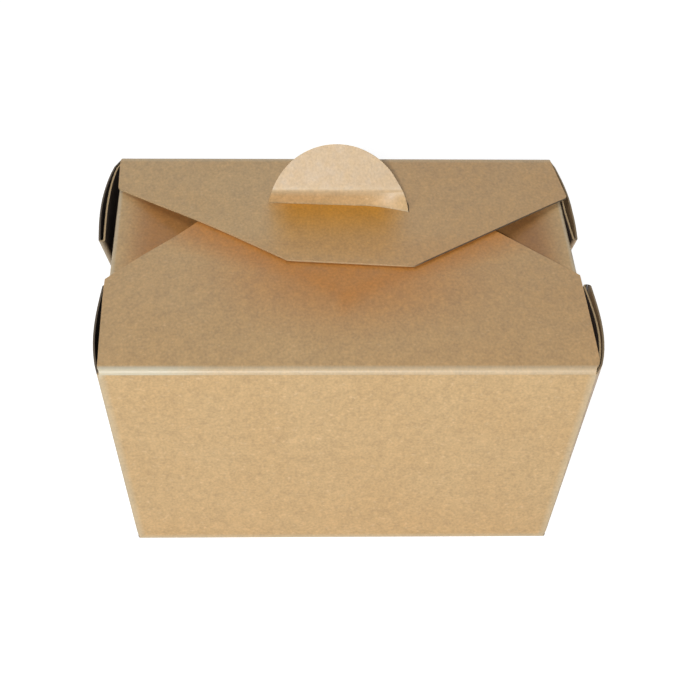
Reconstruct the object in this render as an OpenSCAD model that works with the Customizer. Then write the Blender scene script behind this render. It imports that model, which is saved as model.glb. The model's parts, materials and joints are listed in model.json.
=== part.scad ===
/* [Walls] */
// Width of the front and back walls at the rim
top_w = 127; // [115:1:150]
// Depth over the front and back walls at the rim
top_d = 108; // [100:1:125]
// Width of the front and back walls at the base
base_w = 111; // [100:1:125]
// Depth over the front and back walls at the base
base_d = 89; // [80:1:95]
// Height of the rim above the table
box_h = 63; // [50:1:66]
// Thickness of the coated board
board_t = 0.5; // [0.35:0.05:0.7]
// How far the end walls stop below the rim, so that their flaps lie lowest
end_drop = 1.1; // [1:0.1:3]

/* [Front flap and tongue] */
// Length of the straight side edge of the front flap
front_side = 43; // [20:1:50]
// Width of the front flap where the tongue rises from it
front_shoulder_w = 63; // [56:1:90]
// How far the front flap sinks from its crease to the tongue
front_sink = 0.6; // [0.5:0.1:1.5]
// Distance from the back crease to the foot of the tongue
tongue_setback = 26.9; // [22:0.1:32]
// Radius of the half round tongue
tongue_r = 19.8; // [14:0.1:22]
// How far the centre of that round lies under the foot of the tongue
tongue_drop = 1.25; // [0.5:0.25:3]
// Length of the upright neck of the tongue, from its foot to its crease
neck_len = 5.2; // [4:0.1:7]
// Lean of the neck towards the back, in degrees
neck_lean = 6; // [3:1:9]
// Lean of the tongue above its crease, in degrees
tongue_lean = 31; // [25:1:33]
// Cut away at the front flap's free corners: across, and along the flap
front_notch = [1.2, 3.2]; // [0.5:0.1:5]

/* [Back flap] */
// Length of the back flap from its crease to its front edge
back_len = 58.3; // [45:0.1:70]
// Length of the straight side edge of the back flap
back_side = 21; // [12:0.5:30]
// Width of the front edge of the back flap
back_tip_w = 35.4; // [30:0.2:50]
// How far the back flap rises from its crease to its front edge
back_rise = 0.6; // [0.4:0.1:1.5]
// Opening angle of the back flap, 0 closed
back_open = 0; // [0:5:180]
// Gap between the tongue and the edges of its slot
slot_gap = 0.35; // [0.3:0.05:0.6]
// Gap between the back flap and the bead of its crease
hinge_gap = 0.3; // [0.25:0.05:0.6]
// How much wider the two big flaps are at their free corners than at their crease, each side
flap_flare = 0.6; // [0:0.1:1.5]

/* [End flaps] */
// Length of the end flaps
end_flap_len = 30; // [20:1:40]
// Width of the end flaps at their free edge
end_flap_tip_w = 88; // [60:1:96]
// Slope of the end flaps down into the box, in degrees
end_flap_slope = 6; // [1:0.5:8]
// Gap between an end flap's crease end and the front or back wall
end_flap_gap = 0.95; // [0.6:0.05:3]

/* [Corner folds] */
// Gap left between two leaves of a corner fold where they are pressed flat
leaf_gap = 0.1; // [0.08:0.02:0.2]
// How far the corner folds stop below the rim
web_drop = 1; // [0.8:0.1:3]
// Front left fold at the rim: lift of inner leaf, its belly, belly of pocket, opening at the nose
web_front_left = [0.5, 0.9, 1.2, 0.2]; // [0:0.1:5]
// Front right fold at the rim, in the same order
web_front_right = [2.3, 1.2, 0.7, 0.5]; // [0:0.1:5]
// Back left fold at the rim, in the same order
web_back_left = [3.7, 0.3, 1.3, 0.2]; // [0:0.1:5]
// Back right fold at the rim, in the same order
web_back_right = [1.8, 0, 2.1, 0.3]; // [0:0.1:5]

/* [Hidden] */

// Every crease is a bead a little thicker than the board
fold_r = 0.62 * board_t;
fold_fn = 32;
// The base creases sit just clear of the underside of the base
low_z = fold_r + 0.08 * board_t;
rim_z = box_h - fold_r;
end_rim_z = rim_z - end_drop;

// Middle planes of the front and back walls, from the box's centre
front_low_y = base_d / 2 - fold_r;
front_rim_y = top_d / 2 - fold_r;
// A corner fold is two leaves lying on the end wall
leaf_pitch = board_t + leaf_gap;
side_low_x = base_w / 2 - fold_r;
side_rim_x = top_w / 2 - fold_r;
end_low_x = side_low_x - 2 * leaf_pitch;
end_rim_x = side_rim_x - 2 * leaf_pitch;

// The blank's angle left between two walls is folded in half to make the web
wall_rise = rim_z - low_z;
front_slant = norm([front_rim_y - front_low_y, wall_rise]);
end_slant = norm([end_rim_x - end_low_x, wall_rise]);
front_side_lean = atan((side_rim_x - side_low_x) / front_slant);
end_side_lean = atan((front_rim_y - front_low_y) / end_slant);
web_angle = (90 - front_side_lean - end_side_lean) / 2;
web_reach = end_slant * (tan(end_side_lean) + tan(web_angle - end_side_lean));
web_top = (box_h - web_drop - low_z) / wall_rise;
web_foot = 0.02;
leaf_steps = 8;
nose_steps = 4;
// The inner leaf springs off early, and the pocket opens late, along the rim
lift_bias = 0.7;
belly_bias = 0.85;
pocket_bias = 1.6;

// The front flap runs from the front crease to the foot of the tongue
tongue_y = front_rim_y - tongue_setback;
front_len = norm([front_rim_y + tongue_y, front_sink]);
front_slope = asin(front_sink / front_len);
foot_z = rim_z - front_sink;
flap_corner_r = 2;
point_r = 1;

// The tongue's own outline, in its plane, measured up from its foot
tongue_len = tongue_r - tongue_drop;
tongue_edge = acos(tongue_drop / tongue_r);
foot_half_w = tongue_r * sin(tongue_edge);
// Height and setback of a point of the tongue, by its distance from the foot
function tongue_point(s) = s < neck_len
    ? [tongue_y + s * sin(neck_lean), foot_z + s * cos(neck_lean)]
    : [tongue_y + neck_len * sin(neck_lean) + (s - neck_len) * sin(tongue_lean),
       foot_z + neck_len * cos(neck_lean) + (s - neck_len) * cos(tongue_lean)];
// Distance of that point from the back crease, about which the slot swings
function tongue_swing(s) = norm(tongue_point(s) - [front_rim_y, rim_z]);
tongue_nearest = min([for (i = [0:24]) tongue_swing(tongue_len * i / 24)]);

// The slot clears the tongue at every opening angle of the back flap
back_slope = asin(back_rise / back_len);
slot_near = tongue_setback + board_t / 2 + slot_gap;
slot_far = tongue_nearest - board_t / 2 - slot_gap;
slot_end = slot_near - board_t - 2 * slot_gap - neck_len * sin(neck_lean) / 2;
slot_half_w = foot_half_w + 1.5 * slot_gap;
slot_flat_w = 0.78 * slot_half_w;
slot_corner_r = 0.4;
slot_round_r = 2;
hinge_start = fold_r + hinge_gap;

end_flap_start_w = 2 * (front_rim_y - board_t / 2 - end_flap_gap);
end_flap_corner_r = 4;

kraft = [0.76, 0.63, 0.46];
kraft_lid = [0.72, 0.59, 0.42];

// One corner of an outline turned into an arc of radius r
function corner_arc(a, p, b, r, steps = 5) =
    let (u = (a - p) / norm(a - p), v = (b - p) / norm(b - p),
         half = acos(u * v) / 2,
         centre = p + (u + v) / norm(u + v) * r / sin(half),
         from = p + u * r / tan(half) - centre,
         turn = (u[0] * v[1] - u[1] * v[0] > 0 ? -1 : 1) * (180 - 2 * half))
    [for (i = [0:steps]) let (t = turn * i / steps)
        centre + [from[0] * cos(t) - from[1] * sin(t), from[0] * sin(t) + from[1] * cos(t)]];

// An outline whose corners are rounded, each by its own radius
function rounded(points, radii) = [for (i = [0:len(points) - 1])
    each radii[i] > 0
        ? corner_arc(points[(i + len(points) - 1) % len(points)], points[i],
                     points[(i + 1) % len(points)], radii[i])
        : [points[i]]];

// Right half of an outline, given from the crease outwards, with its mirror image
function both_sides(half) = concat(half,
    [for (i = [len(half) - 1:-1:0]) [-half[i][0], half[i][1]]]);

// A flat panel of board, centred on its own middle plane
module board(points) {
    linear_extrude(board_t, center = true) polygon(points);
}

// A crease bead along X
module crease_x(width) {
    rotate([0, 90, 0]) cylinder(r = fold_r, h = width, center = true, $fn = fold_fn);
}

// A crease bead between two points
module crease(p, q) {
    d = q - p;
    translate(p)
        rotate([0, acos(d[2] / norm(d)), atan2(d[1], d[0])])
            cylinder(r = fold_r, h = norm(d), $fn = fold_fn);
}

// A wall that faces the front, between its base crease and its rim crease
module wall(low_w, rim_w, low_y, rim_y, rise) {
    slant = norm([rim_y - low_y, rise]);
    lean = atan((rim_y - low_y) / rise);
    translate([0, -low_y, low_z])
        rotate([90 + lean, 0, 0])
            board([[-low_w / 2, 0], [low_w / 2, 0], [rim_w / 2, slant], [-rim_w / 2, slant]]);
}

module base() {
    translate([0, 0, board_t / 2])
        cube([2 * end_low_x, 2 * front_low_y, board_t], center = true);
}

// The front wall; the back wall is its mirror image
module front_wall() {
    wall(2 * side_low_x, 2 * side_rim_x, front_low_y, front_rim_y, wall_rise);
    translate([0, -front_low_y, low_z]) crease_x(base_w);
    translate([0, -front_rim_y, rim_z]) crease_x(top_w);
    for (side = [-1, 1])
        crease([side * side_low_x, -front_low_y, low_z],
               [side * side_rim_x, -front_rim_y, rim_z]);
}

// Share of the rim height that an end wall reaches
end_share = (end_rim_z - low_z) / wall_rise;

// Right end wall with its flap; the left one is its mirror image
module end_wall() {
    rim_x = end_low_x + end_share * (end_rim_x - end_low_x);
    rim_y = front_low_y + end_share * (front_rim_y - front_low_y);
    rotate([0, 0, 90]) {
        wall(2 * front_low_y, 2 * rim_y, end_low_x, rim_x, end_rim_z - low_z);
        translate([0, -end_low_x, low_z]) crease_x(2 * front_low_y);
        translate([0, -rim_x, end_rim_z]) {
            crease_x(2 * rim_y - board_t);
            rotate([-end_flap_slope, 0, 0]) end_flap();
        }
    }
}

// An end flap, with slanted sides that clear the front and back walls
module end_flap() {
    board(rounded(both_sides([[end_flap_start_w / 2, 0], [end_flap_tip_w / 2, end_flap_len]]),
                  [0, end_flap_corner_r, end_flap_corner_r, 0]));
}

// The two leaves of a web at one height k, from the end wall's edge out to the nose and back
function leaf_lift(web, s, k) = leaf_pitch + k * (web[0] * sin(90 * pow(s, lift_bias))
                                                + web[1] * sin(180 * pow(s, belly_bias)));
function pocket(web, s, k) = leaf_pitch + k * (web[2] * sin(180 * pow(s, pocket_bias))
                                             + web[3] * s * s);
function web_path(web, k) =
    let (x0 = end_low_x + k * (end_rim_x - end_low_x),
         y0 = -front_low_y - k * (front_rim_y - front_low_y),
         tip_x = x0 + leaf_lift(web, 1, k),
         tip_y = y0 + k * web_reach,
         nose_r = pocket(web, 1, k) / 2)
    concat(
        [for (i = [0:leaf_steps]) let (s = i / leaf_steps)
            [x0 + leaf_lift(web, s, k), y0 + s * k * web_reach]],
        [for (i = [1:nose_steps - 1]) let (a = 180 * i / nose_steps)
            [tip_x + nose_r * (1 - cos(a)), tip_y + nose_r * sin(a)]],
        [for (i = [leaf_steps:-1:0]) let (s = i / leaf_steps)
            [x0 + leaf_lift(web, s, k) + pocket(web, s, k), y0 + s * k * web_reach]]);

// A strip of board round a path in plan, as one closed ring of points
function along(path, i) =
    let (d = path[min(i + 1, len(path) - 1)] - path[max(i - 1, 0)]) d / norm(d);
function strip(path, z) =
    let (last = len(path) - 1, half = board_t / 2)
    concat(
        [for (i = [0:last]) let (d = along(path, i))
            [path[i][0] + half * d[1], path[i][1] - half * d[0], z]],
        [for (i = [last:-1:0]) let (d = along(path, i))
            [path[i][0] - half * d[1], path[i][1] + half * d[0], z]]);

// The front right corner fold: a folded sheet whose rays all spring from the base corner
module web(shape) {
    ring_low = strip(web_path(shape, web_foot), low_z + web_foot * wall_rise);
    ring_top = strip(web_path(shape, web_top), low_z + web_top * wall_rise);
    count = len(ring_low);
    half = count / 2;
    sides = [for (i = [0:count - 1]) let (j = (i + 1) % count)
        each [[i, count + j, j], [i, count + i, count + j]]];
    caps = [for (i = [0:half - 2]) let (a = i, b = i + 1, c = count - 2 - i, d = count - 1 - i)
        each [[a, b, d], [b, c, d],
              [count + a, count + d, count + b], [count + b, count + d, count + c]]];
    polyhedron(points = concat(ring_low, ring_top), faces = concat(sides, caps));
}

// Outline of the front flap, from its crease to its shoulders
module front_flap() {
    side = side_rim_x + flap_flare;
    translate([0, -front_rim_y, rim_z])
        rotate([-front_slope, 0, 0])
            board(rounded(both_sides([[side_rim_x, 0], [side, front_side],
                                      [side - front_notch[0], front_side + front_notch[1]],
                                      [front_shoulder_w / 2, front_len]]),
                          [0, point_r, point_r, flap_corner_r, flap_corner_r, point_r, point_r, 0]));
}

// The half round tongue, cut between two distances from its foot
module tongue_slice(from, to) {
    linear_extrude(board_t, center = true)
        intersection() {
            translate([0, -tongue_drop]) circle(r = tongue_r, $fn = 96);
            translate([-tongue_r, from]) square([2 * tongue_r, to - from]);
        }
}

module tongue() {
    crease_at = tongue_point(neck_len);
    crease_half_w = sqrt(pow(tongue_r, 2) - pow(neck_len + tongue_drop, 2));
    translate([0, tongue_y, foot_z]) {
        crease_x(2 * foot_half_w - board_t);
        rotate([90 - neck_lean, 0, 0]) tongue_slice(0, neck_len);
    }
    translate([0, crease_at[0], crease_at[1]]) {
        crease_x(2 * crease_half_w - board_t);
        rotate([90 - tongue_lean, 0, 0])
            translate([0, -neck_len]) tongue_slice(neck_len, tongue_len + 1);
    }
}

module carton() {
    color(kraft) {
        base();
        for (back = [0, 1]) mirror([0, back, 0]) front_wall();
        for (left = [0, 1]) mirror([left, 0, 0]) end_wall();
        web(web_front_right);
        mirror([1, 0, 0]) web(web_front_left);
        mirror([0, 1, 0]) {
            web(web_back_right);
            mirror([1, 0, 0]) web(web_back_left);
        }
        front_flap();
        tongue();
    }
}

// The slot, open far enough for the tongue to pass as the flap swings
module slot() {
    linear_extrude(4 * board_t, center = true)
        polygon(rounded([[slot_half_w, slot_near], [slot_half_w, slot_end],
                         [slot_flat_w, slot_far], [-slot_flat_w, slot_far],
                         [-slot_half_w, slot_end], [-slot_half_w, slot_near]],
                        [slot_corner_r, slot_corner_r, slot_round_r,
                         slot_round_r, slot_corner_r, slot_corner_r]));
}

module back_flap() {
    side = side_rim_x + flap_flare;
    color(kraft_lid)
        translate([0, front_rim_y, rim_z])
            rotate([-back_open, 0, 0])
                rotate([back_slope, 0, 180])
                    difference() {
                        board(rounded(both_sides([[side_rim_x, hinge_start], [side, back_side],
                                                  [back_tip_w / 2, back_len]]),
                                      [0, flap_corner_r, point_r, point_r, flap_corner_r, 0]));
                        slot();
                    }
}

carton();
back_flap();
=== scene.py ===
"""Takeaway box: the folded board sheet, its finish, and the studio that it stands in."""
import json
import math
from functools import partial

import bmesh
import bpy
from bpy.props import FloatProperty, FloatVectorProperty, PointerProperty
from mathutils import Matrix, Vector


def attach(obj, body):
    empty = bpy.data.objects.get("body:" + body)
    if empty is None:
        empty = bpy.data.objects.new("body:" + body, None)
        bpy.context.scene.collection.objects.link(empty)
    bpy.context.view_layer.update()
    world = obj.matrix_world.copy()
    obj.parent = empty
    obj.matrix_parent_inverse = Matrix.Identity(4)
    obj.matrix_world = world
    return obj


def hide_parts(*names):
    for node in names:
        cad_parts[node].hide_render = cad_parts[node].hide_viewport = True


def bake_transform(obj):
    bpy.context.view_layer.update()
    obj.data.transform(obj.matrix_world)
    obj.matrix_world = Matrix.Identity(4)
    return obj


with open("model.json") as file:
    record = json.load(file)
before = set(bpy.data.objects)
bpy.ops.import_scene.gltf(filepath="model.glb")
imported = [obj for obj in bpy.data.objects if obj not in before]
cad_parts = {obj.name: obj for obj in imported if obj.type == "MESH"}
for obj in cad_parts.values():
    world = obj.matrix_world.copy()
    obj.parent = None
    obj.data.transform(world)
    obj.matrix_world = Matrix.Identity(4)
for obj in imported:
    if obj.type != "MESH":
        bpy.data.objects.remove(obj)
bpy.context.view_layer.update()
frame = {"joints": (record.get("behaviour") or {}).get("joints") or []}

bl_info = {
    "name": "Takeaway Box",
    "version": (1, 0, 0),
    "blender": (4, 5, 0),
    "location": "3D View > Sidebar > Takeaway Box",
    "description": "Folds a kraft board takeaway box around its packed frame",
    "category": "Add Mesh",
}

MM = 0.001
HINGE = Vector(frame["joints"][0]["pos_m"])

# Layers of a sheet besides fold and shade: how near it lies to other board, which sets its painted shade,
# and where painted shade, a painted reflection, painted sheen and a painted shadow change its tone
LAYERS = ("cover", "warm", "golden", "pale", "dim")
# Angle from which an edge is shaded sharp, and how far a point may stand off the middle, in boards
SHARP = math.radians(50)
SPREAD = 0.9
# Distance in which two points are welded, in metres, and slack when places are compared
WELD = 3e-6
SLACK = 1e-6

# Columns across a corner fold, by its parts
FOLD_PARTS = [("corner", 5), ("outer", 12), ("nose", 7), ("inner", 12), ("turn", 7)]
FOLD_COLUMNS = [
    (part, i / count)
    for part, count in FOLD_PARTS
    for i in range(count + (1 if part == "turn" else 0))
]
# Columns across the walls. FRONT_SHARE of the front's width goes on into the tongue, and BACK_SHARE of
# the back's runs to the slot
END_COLUMNS = 40
FRONT_INNER = 28
FRONT_OUTER = 12
FRONT_SHARE = 0.627
BACK_INNER = 28
BACK_OUTER = 14
BACK_SHARE = 0.5
# Where across the back wall the two sheets meet, and the column beside it
SEAM = 0.985
SEAM_NEXT = 0.96
# Rows up the walls, the base crease, a rim crease, a small crease and the tongue's round
WALL_ROWS = 30
FOOT_ROWS = 6
CREASE_ROWS = 8
SMALL_ROWS = 6
ROUND_ROWS = 18
ROUND_END = math.radians(87.5)
ROW_PITCH = 2.5 * MM
# How evenly the wall rows are spaced at the base, 1 for evenly, and the steps round an outline's corner
ROWS_EVEN = 0.6
CORNER_STEPS = 5

# Height of the base creases on the walls, and their radius in boards
BASE_CREASE_Z = 0.35 * MM
BASE_CREASE_R = 0.9
# Radius of a small crease, and play between two leaves of board
SMALL_CREASE = 0.45 * MM
PLAY = 0.05 * MM
# Height in which the corner folds open out, and how fast their outer leaf leaves the side crease
FOOT_BLEND = 1.6 * MM
CORNER_BLEND = 14
# Reach of a corner fold at the base, and the powers that set where along it the inner leaf lifts and bellies
BASE_REACH = 0.1 * MM
LIFT_POWER = 0.5
BELLY_POWER = 0.85
# How flat the end walls bow, the width in which the painted shade of a corner fold ends on them, and the
# share of their height from which their slope at the rim is taken
END_FLATNESS = 6
COVER_EDGE = 4 * MM
END_SLOPE_FROM = 0.9
# Inset of the end flaps beside their crease, as across, along and corner radius, and radius of their tips
END_INSET = (0.25 * MM, 1.2 * MM, 0.5 * MM)
END_TIP_R = 4.0 * MM
# Ends of the front flap's hump and of the flare of the tongue's foot
HUMP_END = 58 * MM
FLARE_END = 9 * MM
# Radii of the front flap's outline: at its flare, in runs of it, at its notch, and in its left diagonal
FLARE_R = 4
NOTCH_R = (0.8 * MM, 0.5 * MM)
FRONT_BEND_R = 60 * MM
# How much more painted highlight the left end of the front rim crease takes, and where that starts and its
# run, in millimetres
LEFT_HIGHLIGHT = 1.1
LEFT_HIGHLIGHT_RUN = (30, 20)
# Part of the front flap that is pulled along with the foot, where its right end curls and how suddenly
FOOT_RUN = 18 * MM
CURL_FROM = 7 * MM
CURL_RUN = 12 * MM
CURL_POWER = 1.7
# How strongly the crease across the tongue is pale, as pressed board and painted highlight
BEND_PALE_AND_HIGHLIGHT = 0.6
# How far the slot's back edge swings forward at its ends, from which share of its half width, and the
# runs in which its edges straighten
SLOT_CUT = 1.7 * MM
SLOT_CUT_FROM = 0.78
SLOT_CUT_RUN = 12 * MM
SLOT_PULL_RUN = 14 * MM
# Inset of the back flap beside its crease, as across, along and corner radius, the radii of its side
# corners, of its front edge's ends and of a hollow diagonal, and the share of the front edge that the inner
# columns take
BACK_INSET = (0.3 * MM, 3.0 * MM, 1.5 * MM)
BACK_CORNER_R = 2.0 * MM
BACK_TIP_R = 1.0 * MM
HOLLOW_R = 300 * MM
TIP_INNER = 0.62

# Painted shade in a redder tone on the front flap. Half width of its band beside the back flap, and its oval
# in front of it: half width at the left and right, half depth, and how far its centre lies in front of the
# box's
SHADE_BAND = 16 * MM
SHADE_OVAL = (46 * MM, 52 * MM)
SHADE_OVAL_DEEP = 43 * MM
SHADE_OVAL_FRONT = 6 * MM
# How much of the redder painted shade each big flap takes all over, at its left and its right, and where
# that changes: start and run in millimetres
FRONT_SHADE = (0.12, 0.2)
FRONT_SHADE_RUN = (-20, 50)
BACK_SHADE = (0.06, 0.2)
BACK_SHADE_RUN = (-30, 60)
# How much more painted shade the back flap takes towards its front edge, and where, counted forward
BACK_EDGE_SHADE = 0.13
BACK_EDGE_RUN = (-14, 12)
# The painted reflection of the tongue on the back flap: where its middle lies across, its half width, how
# far it starts behind the tongue's foot, the run in which its best part fades, what is left there, and where
# and how it ends
REFLECTION_X = -1 * MM
REFLECTION_HALF = 11 * MM
REFLECTION_BEHIND = 1 * MM
REFLECTION_FADE = 26 * MM
REFLECTION_PLAIN = 0.3
REFLECTION_END = 22 * MM
REFLECTION_END_RUN = 12 * MM
# Run in which painted shade darkens and reddens the end flaps under the big flaps, and how much redder it
# makes them
UNDER_SHADE_RUN = 11 * MM
UNDER_SHADE_TONE = 0.85
# How much painted sheen makes the tongue pale above its crease and in which run, and how dark a painted
# shadow makes the back flap's cut edge at the right, and where: start and run in millimetres
TONGUE_SHEEN = 0.25
SHEEN_RUN = 1.5 * MM
EDGE_SHADE = 0.75
EDGE_SHADE_RUN = (17, 5)

# Noise in the board, each as scale, detail, stretch and shift: redder clouds, pale flecks, fibres, their
# clouds, and the pulp at the cut edges
MOTTLE_NOISE = (55.0, 3.0)
FLECK_NOISE = (1300.0, 1.0, (0.6, 1.0, 1.0), (3.0, 1.0, 2.0))
FIBRE_NOISE = (1500.0, 2.0, (1.0, 0.6, 1.0))
CLOUD_NOISE = (420.0, 3.0, (1.0, 0.6, 1.0), (5.0, 2.0, 1.0))
PULP_NOISE = (2600.0, 2.0)
# Share of the fibres in the grain, how strongly a crease is pale, as pressed board and painted highlight,
# how strongly painted shade darkens a narrow fold, and how dark painted shade makes a narrow fold's cut edge
FIBRE_SHARE = 0.6
CREASE_PALE_AND_HIGHLIGHT = 0.35
FOLD_SHADE = 0.93
CUT_SHADE = 0.8
# Depth of the relief on the board and on its cut edge, and the cut edge's relief and roughness
BOARD_RELIEF = 0.045 * MM
CUT_RELIEF_DEPTH = 0.05 * MM
CUT_RELIEF = 0.4
CUT_ROUGHNESS = 0.85

# Where the lamps look, half the floor's side in metres, and the floor's gap under the box
LAMP_AIM = Vector((0.0, 0.0, 40 * MM))
FLOOR_HALF = 4.0
FLOOR_GAP = 0.05 * MM


def length(name, description, mm, low=0.0):
    """A size property, written in millimetres and held in metres."""
    return FloatProperty(
        name=name, description=description, default=mm * MM, min=low * MM, unit="LENGTH", precision=5
    )


def lengths(name, description, mm):
    """Several sizes in one property, written in millimetres."""
    return FloatVectorProperty(
        name=name, description=description, default=[v * MM for v in mm], size=len(mm),
        unit="LENGTH", precision=5,
    )


def angle(name, description, degrees):
    """An angle property, written in degrees."""
    return FloatProperty(name=name, description=description, default=math.radians(degrees), unit="ROTATION")


def fraction(name, description, value):
    """A property that runs from 0 to 1."""
    return FloatProperty(name=name, description=description, default=value, min=0.0, max=1.0)


def fractions(name, description, values, high=1.0):
    """Several numbers from 0 to high in one property."""
    return FloatVectorProperty(
        name=name, description=description, default=values, size=len(values), min=0.0, max=high
    )


def amount(name, description, value, unit="NONE"):
    """A number with no upper limit."""
    return FloatProperty(name=name, description=description, default=value, min=0.0, unit=unit)


def colour(name, description, value):
    """A colour property, in linear light."""
    return FloatVectorProperty(
        name=name, description=description, default=value, size=3, min=0.0, max=1.0, subtype="COLOR"
    )


FOLD_SIZES = "Reach along the rim, lift and belly of the inner leaf, belly and nose of the pocket"


class BoxSizes(bpy.types.PropertyGroup):
    """Sizes of the folded sheet, on the middle of the board. A pair is the left and the right one."""

    board: length("Board", "Thickness of the board", 0.5, 0.2)
    base_half_w: length("Base half width", "Centre to the side creases at the base", 55.19)
    base_half_d: length("Base half depth", "Centre to the front crease at the base", 44.19)
    rim_half_w: length("Rim half width", "Centre to the side creases at the rim", 63.19)
    end_low: length("End wall at the base", "Centre to the middle of an end wall at the base", 53.99)
    end_rim: length("End wall at the rim", "Centre to the middle of an end wall at the rim", 61.99)
    end_bow: lengths("End wall bow", "How far each end wall bows out at the rim", (0.78, 1.75))
    end_drop: length("End drop", "How far the end creases lie under the rim creases", 1.1)
    wall_bulge: length("Wall bulge", "How far the front and back walls bulge out", 0.25)
    crease: length("Crease", "Radius of the rim creases", 1.05, 0.3)
    corner: length("Corner", "Radius of the upright creases", 0.31, 0.26)
    leaf_pitch: length("Leaf pitch", "Distance between two leaves of a corner fold pressed flat", 0.6)
    web_drop: length("Fold drop", "How far the corner folds stop under the rim", 0.69)
    front_left: lengths("Front left fold", FOLD_SIZES, (39.3, 0.1, 0.3, 1.2, 0.25))
    front_right: lengths("Front right fold", FOLD_SIZES, (39.3, 2.3, 1.35, 0.2, 1.15))
    back_left: lengths("Back left fold", FOLD_SIZES, (43.6, 2.85, 0.5, 0.75, 0.75))
    back_right: lengths("Back right fold", FOLD_SIZES, (42.7, 2.35, -0.65, 1.25, 0.35))
    front_peaks: fractions("Front fold peaks", "How late each front pocket is widest", (0.9, 1.0), 2.0)
    back_peaks: fractions("Back fold peaks", "How late each back pocket is widest", (1.15, 1.25), 2.0)
    # Painted shade: how dark and how much redder the corner folds are inside, and how dark the end flaps are
    # under the big flaps
    fold_painted_shade: fractions("Fold dark", "How dark the outer leaves are inside", (1.0, 0.6))
    fold_warm_shade: fractions("Fold warm", "How warm the folds are inside", (0.0, 0.5))
    end_painted_shade: fractions("End flap dark", "How dark the end flaps are under the big flaps", (0.25, 0.45))
    flare: lengths("Flap flare", "How much wider the front flap grows", (0.65, 0.98))
    flare_run: lengths("Flare run", "How far from the crease it has grown", (34.0, 4.0))
    front_side: lengths("Front flap sides", "Length of its side edges", (42.1, 44.2))
    notch_across: lengths("Front flap notch", "Cut at its free corners, across the flap", (1.4, 1.35))
    notch_along: lengths("Front flap notch length", "The same cut, along the flap", (1.9, 1.7))
    front_bend: lengths("Front flap bend", "Where its left diagonal turns: across, along", (54.5, 54.2))
    shoulder: length("Shoulder", "Half width of the front flap at the foot of the tongue", 31.7)
    front_hump: angle("Front flap hump", "Slope with which the front flap leaves its crease", 3.0)
    front_sink: length("Front flap sink", "How far the front flap sinks towards the tongue", 0.6)
    back_side: lengths("Back flap sides", "Length of the back flap's side edges", (18.2, 22.9))
    back_corner: lengths("Back flap corners", "Centre to the back flap's side corners", (62.9, 65.4))
    back_hollow: lengths("Back flap hollow", "How far its diagonals are cut hollow", (1.8, 0.0))
    back_len: length("Back flap length", "Length of the back flap from crease to front edge", 58.15)
    back_tip: lengths("Back flap tip", "Centre to the ends of the back flap's front edge", (14.9, 19.4))
    back_skew: angle("Back flap skew", "Turn of the back flap's front edge, left end back", 5.2)
    back_rise: length("Back flap rise", "How far the back flap rises from crease to front edge", 0.6)
    end_flap: length("End flap", "Length of the end flaps", 30.0)
    end_flap_tip: length("End flap tip", "Half width of the end flaps' free edge", 44.0)
    end_slope: angle("End flap slope", "Slope of the end flaps where they leave their crease", 3.0)
    end_droop: length("End flap droop", "How far the end flaps' free edge bends further down", 4.0)
    setback: length("Tongue setback", "Distance from the back crease to the foot of the tongue", 26.9)
    tongue_r: length("Tongue radius", "Radius of the half round tongue", 19.2)
    tongue_drop: length("Tongue drop", "How far the round's centre lies under the tongue's foot", 0.9)
    tongue_left: length("Tongue shift", "How far the round's centre lies to the left", 0.78)
    tongue_flare: lengths("Tongue flare", "How far the ends of the foot stand out of the round", (0.2, 1.2))
    neck: length("Tongue neck", "Length of the tongue from its foot to its crease", 5.2)
    neck_lean: angle("Neck lean", "Lean of the tongue under its crease", 6.0)
    tongue_lean: angle("Tongue lean", "Lean of the tongue above its crease", 31.0)
    tongue_bend: length("Tongue bend", "Radius of the crease across the tongue", 2.6)
    curl: length("Tongue curl", "How far the right end of the tongue's foot is pulled forward", 2.7)
    skew: angle("Tongue skew", "Turn of the tongue's foot, left end back", 3.2)
    slot_near: length("Slot near edge", "Distance from the back crease to the slot's front edge", 27.45)
    slot_far: length("Slot far edge", "Distance from the back crease to the slot's back edge", 24.3)
    slot_half: lengths("Slot half width", "Centre to the ends of the slot", (20.3, 19.65))

    def corner_fold(self, left, back):
        """The sizes of one corner fold."""
        pair = (self.back_left, self.back_right) if back else (self.front_left, self.front_right)
        return pair[0 if left else 1]


class BoxFinish(bpy.types.PropertyGroup):
    """Colours and texture of the board."""

    board: colour("Board", "Kraft board", (0.55, 0.375, 0.187))
    mottle: colour("Mottled board", "Redder clouds in the board", (0.535, 0.35, 0.165))
    # Painted shade: a redder tone where sheen is lost and shade falls, on the flaps, in the folds and on the
    # end flaps
    warm: colour("Warm board", "Redder board where the flaps lie on each other", (0.52, 0.22, 0.05))
    # Painted reflection of the tongue on the back flap before it
    golden: colour("Golden board", "Yellower board in front of the tongue", (0.53, 0.24, 0.03))
    edge: colour("Cut edge", "Bare pulp at the cut edges", (0.47, 0.335, 0.18))
    fleck: colour("Fleck", "Pale fibres in the board", (0.68, 0.50, 0.29))
    # Pale pressed board and painted highlight along the creases
    crease: colour("Crease", "Board pressed pale along the creases", (0.60, 0.58, 0.46))
    # Painted sheen on the tongue above its crease
    pale: colour("Pale board", "The tongue above its crease", (0.46, 0.42, 0.32))
    # Painted shade deep in the narrow folds
    dark: colour("Dark", "Board in the narrow folds", (0.012, 0.014, 0.02))
    gloss: fraction("Gloss", "Specular level of the coated board", 0.34)
    roughness: fraction("Roughness", "Roughness of the coated board", 0.42)
    grain: fraction("Grain", "Strength of the fibre grain", 0.19)
    relief: fraction("Relief", "Strength of the fibre relief", 0.5)


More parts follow.
